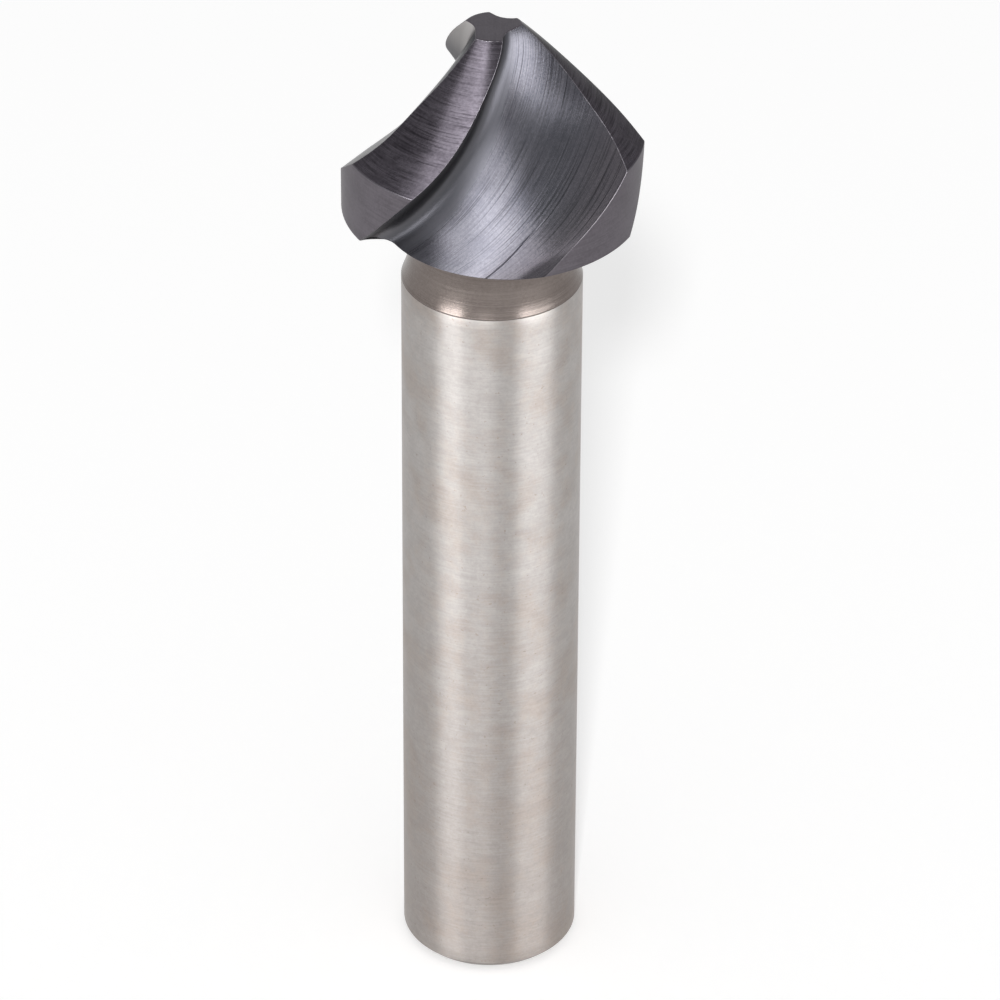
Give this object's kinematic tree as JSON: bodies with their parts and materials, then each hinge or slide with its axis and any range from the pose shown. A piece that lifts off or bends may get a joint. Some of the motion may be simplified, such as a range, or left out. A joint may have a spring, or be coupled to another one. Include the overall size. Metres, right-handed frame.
{
  "type": "countersink bit",
  "caption": "Countersink bit with a short cone head, deep helical flutes, a neck groove and a plain round shank",
  "frame": {"origin": "centre of the flat shank end, on the bit's axis", "axes": "+Z runs along the bit's axis from the shank end to the tip, -Y is the front"},
  "size_m": [0.0164, 0.0163, 0.06],
  "materials": {
    "tool_steel": "ground steel, dark hard coating on the head"
  },
  "bodies": {
    "root": {"countersink_bit": "tool_steel"}
  },
  "joints": []
}
